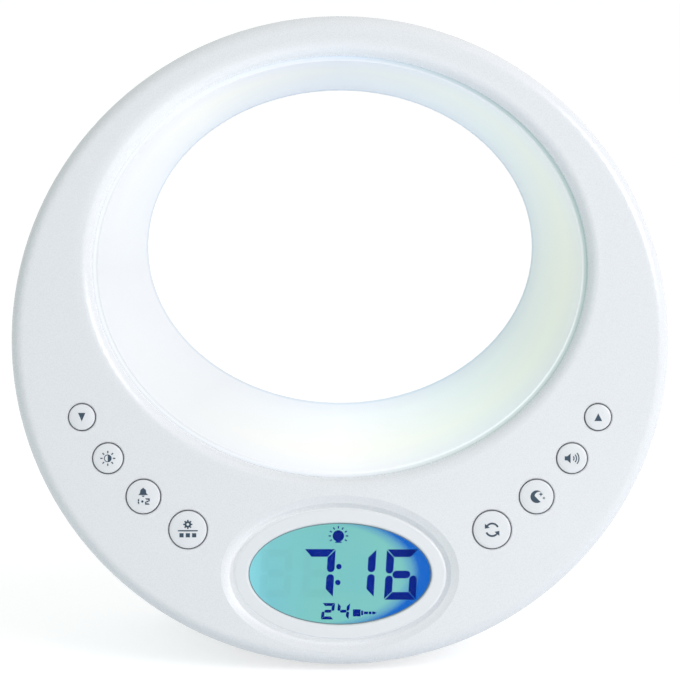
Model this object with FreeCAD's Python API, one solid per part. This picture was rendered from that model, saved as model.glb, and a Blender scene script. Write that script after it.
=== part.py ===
import FreeCAD, Part
import math
import os

os.makedirs("parts", exist_ok=True)

# Sunrise alarm clock. All sizes are millimetres, all angles degrees.
# Everything is drawn flat first: X runs to the right, Y up the face and Z out of the face towards
# the sleeper, so a depth of 10 behind the face is Z = -10. Then the clock is stood up: the face
# leans back by the tilt and the rubber feet rest on Z = 0, with +Y pointing away from the sleeper.

# Stance and face outline
tilt = 12.0
face_half_width = 120.0
face_half_height = 118.35
front_depth = 9.0
rim_round = 5.0
wall = 2.2

# Opening for the light and the lip that rolls into it: the face is a band round it, and the band
# below it is as tall as the display needs
side_band = 29.6
top_band = 14.55
lip_round = 4.5
lip_depth = 5.6

# Light funnel, which steps in to the hole through the clock
funnel_side_step = 17.7
funnel_top_step = 9.2
funnel_foot_step = 26.4
diffuser_gap = 0.45
diffuser_rim = 1.4
diffuser_recess = 4.6
diffuser_wall = 2.0
diffuser_flange = 1.5
light_gap = 7.0
reflector_wall = 1.2
stack_gap = 0.1
led_count = 28
led_size = (3.5, 2.8, 1.9)
led_board_thickness = 1.6
led_board_gap = 0.4
led_ear_width = 12.0
led_ear_reach = 9.0
led_ear_gap = 0.4

# Rear shell: a tapered ring with a deeper pod at its foot
seam_step = 0.5
ring_depth = 47.0
ring_waist_depth = 27.0
ring_waist_draft = 1.2
ring_back_draft = 6.0
ring_back_round = 5.0
tongue_gap = 0.15
tongue_wall = 1.3
tongue_rise = 2.0
tongue_root = 3.0
pod_start = 12.0
pod_depth = 76.0
pod_half_width = 70.0
pod_half_height = 48.0
pod_hole_gap = 9.2
pod_draft = 11.0
pod_rim_inset = 2.4
pod_side_round = 14.0
pod_back_round = 5.0
floor_wall = 2.4

# Rubber feet
foot_proud = 1.6
foot_seat = 0.8
foot_radius = 4.5
front_foot_half_span = 17.0
front_foot_depth = 22.0
rear_foot_half_span = 42.0
rear_foot_margin = 15.0

# Display
display_rim_gap = 4.65
display_lip_gap = 1.8
window_half_width = 33.3
window_half_height = 18.5
bezel_width = 5.3
bezel_gap = 0.4
bezel_proud = 0.2
bezel_edge_round = 0.8
bezel_spigot_wall = 1.0
bezel_spigot_gap = 0.3
dish_depth = 2.5
dish_width = 4.4
lens_thickness = 1.6
lens_seat_depth = 1.3
lens_ledge = 1.6
lens_gap = 0.2
lcd_end_margin = 2.2
lcd_side_margin = 1.5
lcd_thickness = 2.2
lcd_front = 5.3
backlight_thickness = 3.0
backlight_inset = 1.0
holder_wall = 1.6
holder_gap = 0.2
holder_ledge = 2.5

# Buttons: four a side, on a fan about the opening's centre, midway between its edge and the rim,
# growing towards the display
button_names = (("down", "light", "alarm", "set"), ("up", "volume", "sleep", "mode"))
fan_first_angle = 59.7
fan_step = 9.3
fan_step_growth = 0.6
fan_share = 0.5
button_first_radius = 5.1
button_radius_growth = 0.7
button_gap = 0.35
button_proud = 0.9
button_travel = 1.0
button_dome = 0.35
button_edge_round = 0.6
button_crown_share = 0.55
button_crown_drop = 0.3
button_hole_bevel = 0.4
button_wall = 1.3
collar_wall = 1.4
collar_depth = 5.0
flange_overlap = 0.9
flange_thickness = 1.0
button_rest_gap = 0.1

# Main board and the switches on it
board_front = 12.0
board_thickness = 1.6
board_edge_gap = 5.4
board_light_gap = 1.2
board_top_margin = 10.9
board_cutout_gap = 0.8
switch_side = 6.0
switch_height = 3.4
plunger_radius = 1.7
plunger_gap = 0.1
plunger_depth = 2.0
switch_floor = 0.3
stem_radius = 1.6
post_radius = 2.8
post_inset = 13.5
post_angles = (26.0, 45.0, 67.0)
board_screw_radius = 0.95
board_screw_gap = 0.3
board_screw_head_radius = 2.1
board_screw_head_height = 1.3
board_screw_length = 7.0

# Housing screws, driven from behind into tall bosses of the front cover: each pair's angle up from
# straight down, and its distance inside the rim
housing_screw_seats = ((54.5, 16.2), (86.6, 18.3))
boss_radius = 3.2
boss_back = 28.0
screw_floor = 2.0
screw_well_radius = 3.4
screw_well_wall = 1.4
screw_radius = 1.25
screw_hole_gap = 0.4
screw_head_radius = 2.8
screw_head_height = 2.0
screw_length = 12.0
screw_fit = 0.02
pilot_depth = 14.0

# Speaker and its grille, in the top of the pod's back
speaker_margin = 2.4
speaker_radius = 22.5
speaker_rim_thickness = 1.2
speaker_rim_width = 3.0
speaker_frame_wall = 0.8
speaker_neck_radius = 12.0
basket_depth = 11.0
magnet_radius = 14.0
magnet_height = 8.0
cone_wall = 0.5
cone_clearance = 0.6
cone_neck_radius = 6.0
cone_rise = 6.5
cone_roll_width = 4.0
cone_roll_height = 0.5
speaker_seat_wall = 1.5
speaker_seat_depth = 5.0
speaker_gap = 0.2
speaker_tab = (3.0, 6.0, 2.4)
grille_radius = 20.4
grille_gap = 0.2
grille_thickness = 1.5
grille_dome = 1.2
grille_ledge = 1.8
grille_slot_width = 1.5
grille_ring_pitch = 3.6
grille_rings = 4
grille_slot_land = 2.2

# Sockets on their own small board, below the top of the pod's back
socket_x = 44.0
socket_drop = 42.5
socket_spacing = 17.0
socket_board_reach = 13.4
socket_board_width = 19.0
socket_board_margin = 9.0
dc_body = (9.0, 11.0)
dc_mouth_radius = 3.0
dc_hole_radius = 4.2
dc_pin_radius = 1.0
dc_bore_depth = 10.0
aux_body = (9.0, 9.0)
aux_nose_radius = 2.9
aux_bore_radius = 1.8
aux_bore_depth = 14.0
socket_nose_gap = 0.2
socket_recess = 1.0
socket_recess_margin = 2.0
socket_post_radius = 2.2

# Battery bay in the underside, with a sliding door
cell_radius = 5.25
cell_length = 44.5
cell_count = 3
cell_pitch = 11.2
cell_nub_radius = 1.9
cell_nub_length = 0.8
contact_thickness = 0.4
contact_space = 2.6
contact_width = 8.0
contact_cone_root = 3.2
contact_cone_tip = 1.6
contact_tail_radius = 0.6
contact_tail_gap = 0.2
contact_tail_reach = 1.2
bay_back_margin = 9.0
bay_wall = 1.6
bay_gap = 0.6
door_thickness = 2.0
door_gap = 0.25
door_margin = 2.0
door_tongue = 1.2
door_tongue_thickness = 0.8
door_tongue_rise = 0.7
door_tongue_gap = 0.1
door_bed = 1.8
door_bed_margin = 4.0
grip_ridge_count = 5
grip_ridge_pitch = 2.4
grip_ridge_half_width = 9.0
grip_ridge_depth = 0.6
grip_ridge_width = 1.0

# Parts on the back of the main board
plug_size = (9.0, 5.0, 6.0)
plug_row_drop = 9.0
led_plug_x = -30.0
speaker_plug_x = 26.0
socket_plug_drop = 16.0
cell_plug_x = -46.0
cell_plug_drop = 18.0
controller_side = 14.0
radio_chip_side = 8.0
amplifier_size = (10.0, 6.0)
crystal_size = (8.0, 3.4)
chip_height = 1.8
crystal_height = 3.2
capacitor_radius = 3.2
capacitor_height = 8.0
capacitor_half_span = 14.0
capacitor_drop = 12.8
controller_rise = 11.2
crystal_drop = 4.8
coil_x = -12.6
coil_radius = 4.2
coil_bore_radius = 2.2
coil_height = 3.0

# Leads: single wires side by side
wire_radius = 0.6
wire_pitch = 1.6
wire_stub = 7.0
# How much of the shorter stretch beside a corner its bend takes up, so that two bends never meet
wire_bend_share = 0.45

# A cutting tool runs this far past the surface that it opens
past = 1.0
# Half the size of a block that is larger than the clock
huge = 400.0


class Oval:
    """An ellipse in the plane of the face: half width, half height and the height of its centre."""

    def __init__(self, half_width, half_height, centre=0.0):
        self.half_width = half_width
        self.half_height = half_height
        self.centre = centre

    def grown(self, by):
        return Oval(self.half_width + by, self.half_height + by, self.centre)

    def inset(self, side, top, foot):
        """An oval inside this one, by bands at its sides, top and foot."""
        half_height = self.half_height - (top + foot) / 2
        return Oval(self.half_width - side, half_height, self.centre + (foot - top) / 2)

    def towards(self, other, share):
        """The oval a share of the way from this one to the other."""
        return Oval(
            self.half_width + (other.half_width - self.half_width) * share,
            self.half_height + (other.half_height - self.half_height) * share,
            self.centre + (other.centre - self.centre) * share,
        )

    def reach(self, angle, start):
        """How far this outline is from (0, start), at an angle up from straight down."""
        across = math.sin(math.radians(angle)) / self.half_width
        down = math.cos(math.radians(angle)) / self.half_height
        offset = (self.centre - start) / self.half_height
        square = across ** 2 + down ** 2
        return (math.sqrt((down * offset) ** 2 - square * (offset ** 2 - 1)) - down * offset) / square

    def wire(self, depth):
        middle = FreeCAD.Vector(0, self.centre, -depth)
        side = middle + FreeCAD.Vector(self.half_width, 0, 0)
        top = middle + FreeCAD.Vector(0, self.half_height, 0)
        if self.half_width >= self.half_height:
            curve = Part.Ellipse(side, top, middle)
        else:
            curve = Part.Ellipse(top, side, middle)
        return Part.Wire(curve.toShape())

    def plate(self, front, back):
        """A plate of this outline between two depths."""
        return Part.Face(self.wire(back)).extrude(FreeCAD.Vector(0, 0, back - front))


def loft(sections, smooth=False):
    """A solid through (oval, depth) pairs."""
    wires = [oval.wire(depth) for oval, depth in sections]
    return Part.makeLoft(wires, True, not smooth)


def disc(x, y, radius, front, back):
    """A round plate or rod that runs between two depths."""
    return Part.makeCylinder(radius, back - front, FreeCAD.Vector(x, y, -back))


def tube(x, y, outer, inner, front, back):
    return disc(x, y, outer, front, back).cut(disc(x, y, inner, front - past, back + past))


def block(x, y, width, height, front, back):
    """A block centred on (x, y) that runs between two depths."""
    corner = FreeCAD.Vector(x - width / 2, y - height / 2, -back)
    return Part.makeBox(width, height, back - front, corner)


def turned(points, x, y):
    """A solid of revolution about the depth axis at (x, y), from (radius, depth) points."""
    path = [FreeCAD.Vector(radius, 0, -depth) for radius, depth in points]
    outline = Part.Face(Part.makePolygon(path + path[:1]))
    solid = outline.revolve(FreeCAD.Vector(0, 0, 0), FreeCAD.Vector(0, 0, 1), 360)
    solid.translate(FreeCAD.Vector(x, y, 0))
    return solid


def edges_at(shape, depth, within=None):
    """The edges that lie at one depth, and, if an oval is given, inside it."""
    found = []
    for edge in shape.Edges:
        box = edge.BoundBox
        if abs(box.ZMin + depth) > 0.01 or abs(box.ZMax + depth) > 0.01:
            continue
        if within is None or box.XMax <= within.half_width + 0.01:
            found.append(edge)
    return found


def outermost(edges):
    """The edge that reaches furthest across, as a list."""
    return [max(edges, key=lambda edge: edge.BoundBox.XMax)]


def joined(shapes):
    whole = shapes[0]
    if len(shapes) > 1:
        whole = whole.fuse(shapes[1:])
    return whole.removeSplitter()


def mirrored(places):
    """Each (x, y) place, with its twin on the other side."""
    return [(side * x, y) for x, y in places for side in (-1, 1)]


def polar(angle, reach, centre=0.0):
    """A place at an angle up from straight down, measured about (0, centre)."""
    turn = math.radians(angle)
    return (reach * math.sin(turn), centre - reach * math.cos(turn))


# Outlines, from the rim inwards and from the foot upwards
face = Oval(face_half_width, face_half_height)
dish_half_height = window_half_height + bezel_width + bezel_gap + dish_width
display_centre = display_rim_gap + dish_half_height - face_half_height
foot_band = display_rim_gap + 2 * dish_half_height + display_lip_gap + lip_round
opening = face.inset(side_band, top_band, foot_band)
hole = opening.inset(funnel_side_step, funnel_top_step, funnel_foot_step)
window = Oval(window_half_width, window_half_height, display_centre)
bezel = window.grown(bezel_width)
bezel_seat = bezel.grown(bezel_gap)
spigot = window.grown(lens_ledge + bezel_spigot_wall)
spigot_hole = spigot.grown(bezel_spigot_gap)

# Heights up the face of what the pod holds
pod_top = hole.centre - hole.half_height - pod_hole_gap
pod_centre = pod_top - pod_half_height
speaker_seat_radius = speaker_radius + speaker_gap + speaker_seat_wall
speaker_centre = pod_top - floor_wall - speaker_margin - speaker_seat_radius
dc_height = pod_top - socket_drop - socket_spacing / 2
aux_height = pod_top - socket_drop + socket_spacing / 2

# Depths that follow from the ones above
ring_inside = ring_depth - wall
pod_inside = pod_depth - floor_wall
light_back = ring_inside - stack_gap
flange_front = lip_depth + stack_gap
flange_back = flange_front + diffuser_flange
led_board_back = light_back - reflector_wall
led_board_front = led_board_back - led_board_thickness
board_back = board_front + board_thickness
plug_back = board_back + plug_size[2]
socket_board_front = pod_inside - socket_board_reach
socket_board_back = socket_board_front + board_thickness
lcd_width = 2 * (window_half_width + lcd_end_margin)
lcd_height = 2 * (window_half_height + lcd_side_margin)
funnel_mouth = opening.grown(-diffuser_gap - diffuser_rim)

# Height of the face centre above the table: the front cover's lowest edge is level with the underside
lean = math.radians(tilt)
rim_drop = face_half_height * math.cos(lean) + front_depth * math.sin(lean)
face_height = rim_drop + foot_proud


def stand(shape):
    """Stand a shape drawn flat on the table, leaning back."""
    shape = shape.copy()
    shape.rotate(FreeCAD.Vector(0, 0, 0), FreeCAD.Vector(1, 0, 0), 90 - tilt)
    shape.translate(FreeCAD.Vector(0, 0, face_height))
    return shape


def underside_y(depth):
    """Where the underside is met, along the table, by the plane at a depth behind the face."""
    return depth / math.cos(lean) - rim_drop * math.tan(lean)


def above(shape, height):
    """What of a standing shape lies above a height."""
    keep = Part.makeBox(2 * huge, 2 * huge, huge, FreeCAD.Vector(-huge, -huge, height))
    return shape.common(keep)


def funnel(depth):
    """The visible wall of the light funnel at a depth."""
    share = (depth - diffuser_recess) / (light_back - diffuser_recess)
    return funnel_mouth.towards(hole, share)


def diffuser_skin(depth):
    """The outside of the diffuser at a depth."""
    return funnel(depth).grown(diffuser_wall)


def reflector_skin(depth):
    """The outside of the reflector at a depth."""
    return diffuser_skin(depth).grown(light_gap + reflector_wall)


def funnel_wall(outline, thickness, front, back):
    """A wall inside an outline that changes with depth."""
    outer = loft([(outline(front), front), (outline(back), back)])
    low, high = front - past, back + past
    inner = loft([(outline(low).grown(-thickness), low), (outline(high).grown(-thickness), high)])
    return outer.cut(inner)


def button_places():
    """Name, place and hole radius of each button."""
    rows = []
    for side, names in zip((-1, 1), button_names):
        for row, name in enumerate(names):
            angle = fan_first_angle - fan_step * row - fan_step_growth * row * (row - 1) / 2
            inner = opening.reach(angle, opening.centre)
            outer = face.reach(angle, opening.centre)
            x, y = polar(angle, inner + (outer - inner) * fan_share, opening.centre)
            rows.append((name, side * x, y, button_first_radius + button_radius_growth * row))
    return rows


def inside_rim(angle, inset):
    """A place at an angle up from straight down, at a distance inside the rim."""
    return polar(angle, face.reach(angle, 0) - inset)


def post_places():
    return mirrored([inside_rim(angle, post_inset) for angle in post_angles])


def housing_screw_places():
    return mirrored([inside_rim(angle, inset) for angle, inset in housing_screw_seats])


def front_cover():
    body = face.plate(0, front_depth).cut(opening.plate(-past, front_depth + past))
    lip_edges = edges_at(body, 0, opening)
    body = body.makeFillet(lip_round, lip_edges)
    body = body.makeFillet(rim_round, outermost(edges_at(body, 0)))

    cavity = face.grown(-wall).plate(wall, front_depth + past)
    cavity = cavity.cut(opening.grown(wall).plate(0, lip_depth))
    inner_edges = edges_at(cavity, wall, opening.grown(wall))
    cavity = cavity.makeFillet(lip_round - wall, inner_edges)
    cavity = cavity.makeFillet(rim_round - wall, outermost(edges_at(cavity, wall)))
    body = body.cut(cavity)

    # The dish round the display keeps the wall's thickness behind it
    dish_mouth = bezel_seat.grown(dish_width)
    dish = loft([
        (dish_mouth.grown(dish_width), -dish_depth * 0.5),
        (dish_mouth, 0),
        (bezel_seat.grown(dish_width * 0.35), dish_depth * 0.45),
        (bezel_seat, dish_depth),
    ])
    backing = dish_mouth.plate(wall / 2, dish_depth + wall)
    backing = backing.common(face.grown(-wall - tongue_gap).plate(0, front_depth))
    body = body.fuse(backing).cut([dish, spigot_hole.plate(-past, front_depth + past)])

    adds = []
    cuts = []
    for name, x, y, radius in button_places():
        adds.append(disc(x, y, radius + collar_wall, wall / 2, collar_depth))
        cuts.append(disc(x, y, radius, -past, collar_depth + past))
        bevel = button_hole_bevel
        cuts.append(Part.makeCone(radius, radius + 2 * bevel, 2 * bevel, FreeCAD.Vector(x, y, -bevel)))
    for x, y in post_places():
        adds.append(disc(x, y, post_radius, wall / 2, board_front))
        pilot_front = board_back - board_screw_length - past
        cuts.append(disc(x, y, board_screw_radius, pilot_front, board_front + past))
    for x, y in housing_screw_places():
        adds.append(disc(x, y, boss_radius, wall / 2, boss_back))
        cuts.append(disc(x, y, screw_radius, boss_back - pilot_depth, boss_back + past))
    return body.fuse(adds).cut(cuts).removeSplitter()


def light_diffuser():
    body = loft([(diffuser_skin(flange_front), flange_front), (diffuser_skin(light_back), light_back)])
    # The mouth is turned down to slip into the opening, and a flange behind the lip holds it
    mouth = opening.grown(-diffuser_gap).plate(diffuser_recess, flange_back)
    collar = reflector_skin(flange_back).plate(flange_front, flange_back)
    low, high = diffuser_recess - past, light_back + past
    bore = loft([(funnel(low), low), (funnel(high), high)])
    return body.fuse([mouth, collar]).cut(bore).removeSplitter()


def light_reflector():
    body = funnel_wall(reflector_skin, reflector_wall, flange_back + stack_gap, light_back)
    shelf = reflector_skin(light_back).plate(led_board_back, light_back)
    inside = diffuser_skin(led_board_back).grown(led_board_gap)
    shelf = shelf.cut(inside.plate(led_board_back - past, light_back + past))
    notch = led_ear(led_ear_gap, led_board_front - led_ear_gap, led_board_back + led_ear_gap)
    return body.fuse(shelf).cut(notch).removeSplitter()


def led_board_edge():
    """The outer edge of the lamp board, just inside the reflector."""
    return reflector_skin(led_board_back).grown(-reflector_wall - led_board_gap)


def led_ear(gap, front, back):
    """The tab of the lamp board that comes out at the foot of the reflector and takes its lead."""
    edge = led_board_edge()
    top = edge.centre - edge.half_height + past
    bottom = top - past - led_ear_reach - gap
    return block(0, (top + bottom) / 2, led_ear_width + 2 * gap, top - bottom, front, back)


def led_board():
    inner = diffuser_skin(led_board_front).grown(led_board_gap)
    board = led_board_edge().plate(led_board_front, led_board_back)
    board = board.fuse(led_ear(0, led_board_front, led_board_back))
    return board.cut(inner.plate(0, ring_depth)).removeSplitter()


def leds():
    middle = diffuser_skin(led_board_front).grown(light_gap / 2)
    length, width, height = led_size
    lamps = []
    for index in range(led_count):
        turn = 2 * math.pi * (index + 0.5) / led_count
        x = middle.half_width * math.cos(turn)
        y = middle.half_height * math.sin(turn)
        heading = math.degrees(math.atan2(y / middle.half_height ** 2, x / middle.half_width ** 2))
        lamp = block(0, 0, width, length, led_board_front - height, led_board_front)
        lens = disc(0, 0, width * 0.4, led_board_front - height - past, led_board_front - height * 0.8)
        lamp = lamp.cut(lens)
        lamp.rotate(FreeCAD.Vector(0, 0, 0), FreeCAD.Vector(0, 0, 1), heading)
        lamp.translate(FreeCAD.Vector(x, middle.centre + y, 0))
        lamps.append(lamp)
    return Part.makeCompound(lamps)


def display_bezel():
    body = bezel.plate(-bezel_proud, dish_depth)
    body = body.fuse(spigot.plate(dish_depth, lcd_front - stack_gap)).removeSplitter()
    body = body.cut(window.plate(-past, lcd_front))
    rims = edges_at(body, -bezel_proud)
    body = body.makeFillet(bezel_edge_round, rims)
    return body.cut(window.grown(lens_ledge).plate(lens_seat_depth, lcd_front + past))


def display_lens():
    return window.grown(lens_ledge - lens_gap).plate(lens_seat_depth, lens_seat_depth + lens_thickness)


def lcd_panel():
    """Two glasses: the front one stops short of the contact ledge along the lower edge."""
    sheet = lcd_thickness / 2
    ledge = holder_ledge
    back = block(0, display_centre, lcd_width, lcd_height, lcd_front + sheet, lcd_front + lcd_thickness)
    front = block(0, display_centre + ledge / 2, lcd_width, lcd_height - ledge, lcd_front, lcd_front + sheet)
    return joined([back, front])


def lcd_backlight():
    front = lcd_front + lcd_thickness
    inset = 2 * backlight_inset
    return block(0, display_centre, lcd_width - inset, lcd_height - inset, front, front + backlight_thickness)


def lcd_holder():
    outer_width = lcd_width + 2 * (holder_gap + holder_wall)
    outer_height = lcd_height + 2 * (holder_gap + holder_wall)
    frame = block(0, display_centre, outer_width, outer_height, lcd_front, board_front)
    pocket_back = lcd_front + lcd_thickness + backlight_thickness
    pocket = block(0, display_centre, lcd_width + 2 * holder_gap, lcd_height + 2 * holder_gap,
                   lcd_front - past, pocket_back)
    light = block(0, display_centre, lcd_width - 2 * holder_ledge, lcd_height - 2 * holder_ledge,
                  0, board_front + past)
    return frame.cut([pocket, light])


def button_cap(x, y, radius):
    """A domed cap with a hollow back, a flange that keeps it in, and a stem on the switch."""
    cap = radius - button_gap
    top = -button_proud
    stop = collar_depth + button_rest_gap
    foot = board_front - switch_height - plunger_depth
    shoulder = top + button_dome
    side = shoulder + button_edge_round
    # The rounded edge passes through the middle of its arc
    bulge = button_edge_round * (1 - math.sqrt(0.5))
    return turned([
        (0, top), (cap * button_crown_share, top + button_dome * button_crown_drop),
        (cap - button_edge_round, shoulder), (cap - bulge, shoulder + bulge), (cap, side),
        (cap, stop), (radius + flange_overlap, stop),
        (radius + flange_overlap, stop + flange_thickness),
        (cap - button_wall, stop + flange_thickness), (cap - button_wall, shoulder + button_wall),
        (stem_radius, shoulder + button_wall), (stem_radius, foot), (0, foot),
    ], x, y)


def plunger(x, y):
    top = board_front - switch_height - plunger_depth
    back = board_front - switch_floor - button_travel - plunger_gap
    return disc(x, y, plunger_radius, top, back)


def tact_switches():
    """The fixed bodies of the eight switches, each bored for its plunger."""
    bodies = []
    for name, x, y, radius in button_places():
        body = block(x, y, switch_side, switch_side, board_front - switch_height, board_front)
        bore = disc(x, y, plunger_radius + plunger_gap, 0, board_front - switch_floor)
        bodies.append(body.cut(bore))
    return Part.makeCompound(bodies)


def main_board():
    light_room = reflector_skin(board_front).grown(board_light_gap)
    board = face.grown(-wall - board_edge_gap).plate(board_front, board_back)
    board = board.cut(light_room.plate(0, ring_depth))
    board_top = max(y for name, x, y, radius in button_places()) + board_top_margin
    board = board.common(block(0, board_top - huge, 2 * huge, 2 * huge, 0, ring_depth))
    hole_radius = board_screw_radius + board_screw_gap
    cuts = [disc(x, y, hole_radius, 0, ring_depth) for x, y in post_places()]
    for x, y in housing_screw_places():
        cuts.append(disc(x, y, boss_radius + board_cutout_gap, 0, ring_depth))
    return board.cut(cuts)


def plug_row():
    """The height of the upper row of plugs, under the notch for the light."""
    room = reflector_skin(board_front)
    return room.centre - room.half_height - board_light_gap - plug_row_drop


def plug_places():
    """Where each lead's plug is on the back of the main board."""
    row = plug_row()
    return {
        "led": (led_plug_x, row),
        "speaker": (speaker_plug_x, row),
        "socket": (socket_x, row - socket_plug_drop),
        "cell": (cell_plug_x, row - cell_plug_drop),
    }


def board_parts():
    """Chips, capacitors, a coil and plugs on the back of the main board."""
    back = board_back
    middle = display_centre
    row = plug_row()
    parts = [
        block(0, middle + controller_rise, controller_side, controller_side, back, back + chip_height),
        block(led_plug_x, middle, radio_chip_side, radio_chip_side, back, back + chip_height),
        block(speaker_plug_x, middle, *amplifier_size, back, back + chip_height),
        block(0, middle - crystal_drop, *crystal_size, back, back + crystal_height),
        tube(coil_x, row, coil_radius, coil_bore_radius, back, back + coil_height),
    ]
    for x in (-capacitor_half_span, capacitor_half_span):
        parts.append(disc(x, middle - capacitor_drop, capacitor_radius, back, back + capacitor_height))
    width, height, depth = plug_size
    for x, y in plug_places().values():
        parts.append(block(x, y, width, height, back, back + depth))
    return Part.makeCompound(parts)


def screw(x, y, head_depth, length, radius, head_radius, head_height):
    """A domed screw head whose underside is at head_depth, with its shank running forwards."""
    return turned([
        (0, head_depth - length), (radius * 0.5, head_depth - length),
        (radius - screw_fit, head_depth - length + radius), (radius - screw_fit, head_depth),
        (head_radius, head_depth), (head_radius, head_depth + head_height * 0.5),
        (head_radius * 0.75, head_depth + head_height * 0.9), (0, head_depth + head_height),
    ], x, y)


def housing_screws():
    head = boss_back + stack_gap + screw_floor
    screws = [
        screw(x, y, head, screw_length, screw_radius, screw_head_radius, screw_head_height)
        for x, y in housing_screw_places()
    ]
    return Part.makeCompound(screws)


def board_screws():
    screws = [
        screw(x, y, board_back, board_screw_length, board_screw_radius, board_screw_head_radius,
              board_screw_head_height)
        for x, y in post_places()
    ]
    return Part.makeCompound(screws)


def lead(points, count, across):
    """Wires side by side along a route with rounded corners, their ends cut square.

    A point is (x, y, depth), and across is the direction from each wire to the next.
    """
    wires = []
    for index in range(count):
        shift = FreeCAD.Vector(*across) * wire_pitch * (index - (count - 1) / 2)
        places = [FreeCAD.Vector(x, y, -depth) + shift for x, y, depth in points]
        edges = []
        start = places[0]
        for before, corner, after in zip(places, places[1:], places[2:]):
            back = (before - corner).normalize()
            ahead = (after - corner).normalize()
            half_turn = (math.pi - back.getAngle(ahead)) / 2
            reach = wire_bend_share * min((before - corner).Length, (after - corner).Length)
            radius = reach / math.tan(half_turn)
            inward = (back + ahead).normalize()
            bulge = corner + inward * (radius / math.cos(half_turn) - radius)
            edges.append(Part.LineSegment(start, corner + back * reach).toShape())
            edges.append(Part.Arc(corner + back * reach, bulge, corner + ahead * reach).toShape())
            start = corner + ahead * reach
        edges.append(Part.LineSegment(start, places[-1]).toShape())
        path = Part.Wire(edges)
        ring = Part.Wire(Part.makeCircle(wire_radius, places[0], places[1] - places[0]))
        wires.append(path.makePipeShell([ring], True, True))
    return wires


def flat_place(x, y, z):
    """A standing place as (x, height up the face, depth)."""
    rise = z - face_height
    return (x, rise * math.cos(lean) + y * math.sin(lean), y * math.cos(lean) - rise * math.sin(lean))


def led_lead():
    """From the lamp board's ear down to its plug."""
    x, y = plug_places()["led"]
    edge = led_board_edge()
    ear_y = edge.centre - edge.half_height - led_ear_reach + 2 * wire_radius
    route = [
        (0, ear_y, led_board_front),
        (0, ear_y, led_board_front - wire_stub),
        (x, y, plug_back + wire_stub),
        (x, y, plug_back),
    ]
    return Part.makeCompound(lead(route, 2, (1, 0, 0)))


def speaker_lead():
    x, y = plug_places()["speaker"]
    tab_x, tab_y, tab_front = speaker_tab_place()
    route = [
        (tab_x, tab_y, tab_front),
        (tab_x, tab_y, tab_front - 2 * wire_stub),
        (x, y, plug_back + wire_stub),
        (x, y, plug_back),
    ]
    return Part.makeCompound(lead(route, 2, (0, 1, 0)))


def socket_lead():
    x, y = plug_places()["socket"]
    middle, height = socket_board_box()
    route = [
        (socket_x, middle, socket_board_front),
        (socket_x, middle, socket_board_front - 2 * wire_stub),
        (x, y, plug_back + wire_stub),
        (x, y, plug_back),
    ]
    return Part.makeCompound(lead(route, 4, (1, 0, 0)))


def cell_leads():
    """From the two end contacts, past the bay, to one plug."""
    plug_x, plug_y = plug_places()["cell"]
    wires = []
    for index, (side, y) in enumerate(contact_tail_places()):
        tip = side * (bay_half_width + bay_wall + contact_tail_reach)
        x, height, depth = flat_place(tip, y, cell_height)
        end_x = plug_x + wire_pitch * (index - 0.5)
        clear_x = x + side * wire_stub
        route = [(x, height, depth), (clear_x, height, depth)]
        if side > 0:
            # This one crosses over in front of the bay, above the cells
            rise = bay_height_up_face(depth) + wire_stub
            route += [(clear_x, rise, depth), (end_x + 2 * wire_stub, rise, depth)]
        route += [(end_x, plug_y, plug_back + wire_stub), (end_x, plug_y, plug_back)]
        wires += lead(route, 1, (1, 0, 0))
    return Part.makeCompound(wires)


def ring_form(inset):
    """The tapered ring of the rear shell, or its inside when inset by the wall."""
    seam = face.grown(-seam_step)
    front = front_depth if inset == 0 else front_depth - tongue_rise
    sections = [
        (seam.grown(-inset), front),
        (seam.grown(-inset - ring_waist_draft), ring_waist_depth),
        (seam.grown(-inset - ring_back_draft), ring_depth - inset),
    ]
    form = loft(sections, smooth=True)
    return form.makeFillet(ring_back_round - inset, edges_at(form, ring_depth - inset))


def pod_form(inset):
    """The deep foot of the rear shell: an oval pod held within the clock's round outline."""
    back = Oval(pod_half_width, pod_half_height, pod_centre).grown(-inset)
    front = back.grown(pod_draft)
    form = loft([(front, pod_start + inset), (back, pod_depth - inset)])
    form = form.common(face.grown(-pod_rim_inset - inset).plate(0, pod_depth + past))
    corners = []
    for edge in form.Edges:
        box = edge.BoundBox
        if box.ZLength > pod_depth / 2 and abs(box.Center.x) > past:
            corners.append(edge)
    form = form.makeFillet(pod_side_round - inset, corners)
    return form.makeFillet(pod_back_round - inset, edges_at(form, pod_depth - inset))


def rear_shell():
    """The hollow rear shell, standing, with its hole and its flat underside."""
    outer = above(stand(ring_form(0).fuse(pod_form(0))), foot_proud)
    inner = above(stand(ring_form(wall).fuse(pod_form(floor_wall))), foot_proud + floor_wall)
    tongue = face.grown(-wall - tongue_gap).plate(front_depth - tongue_rise, front_depth + tongue_root)
    tongue = tongue.cut(face.grown(-wall - tongue_gap - tongue_wall).plate(0, ring_depth))
    through = hole.plate(ring_inside - past, ring_depth + past)
    return outer.cut([inner, stand(through)]).fuse(stand(tongue))


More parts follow.
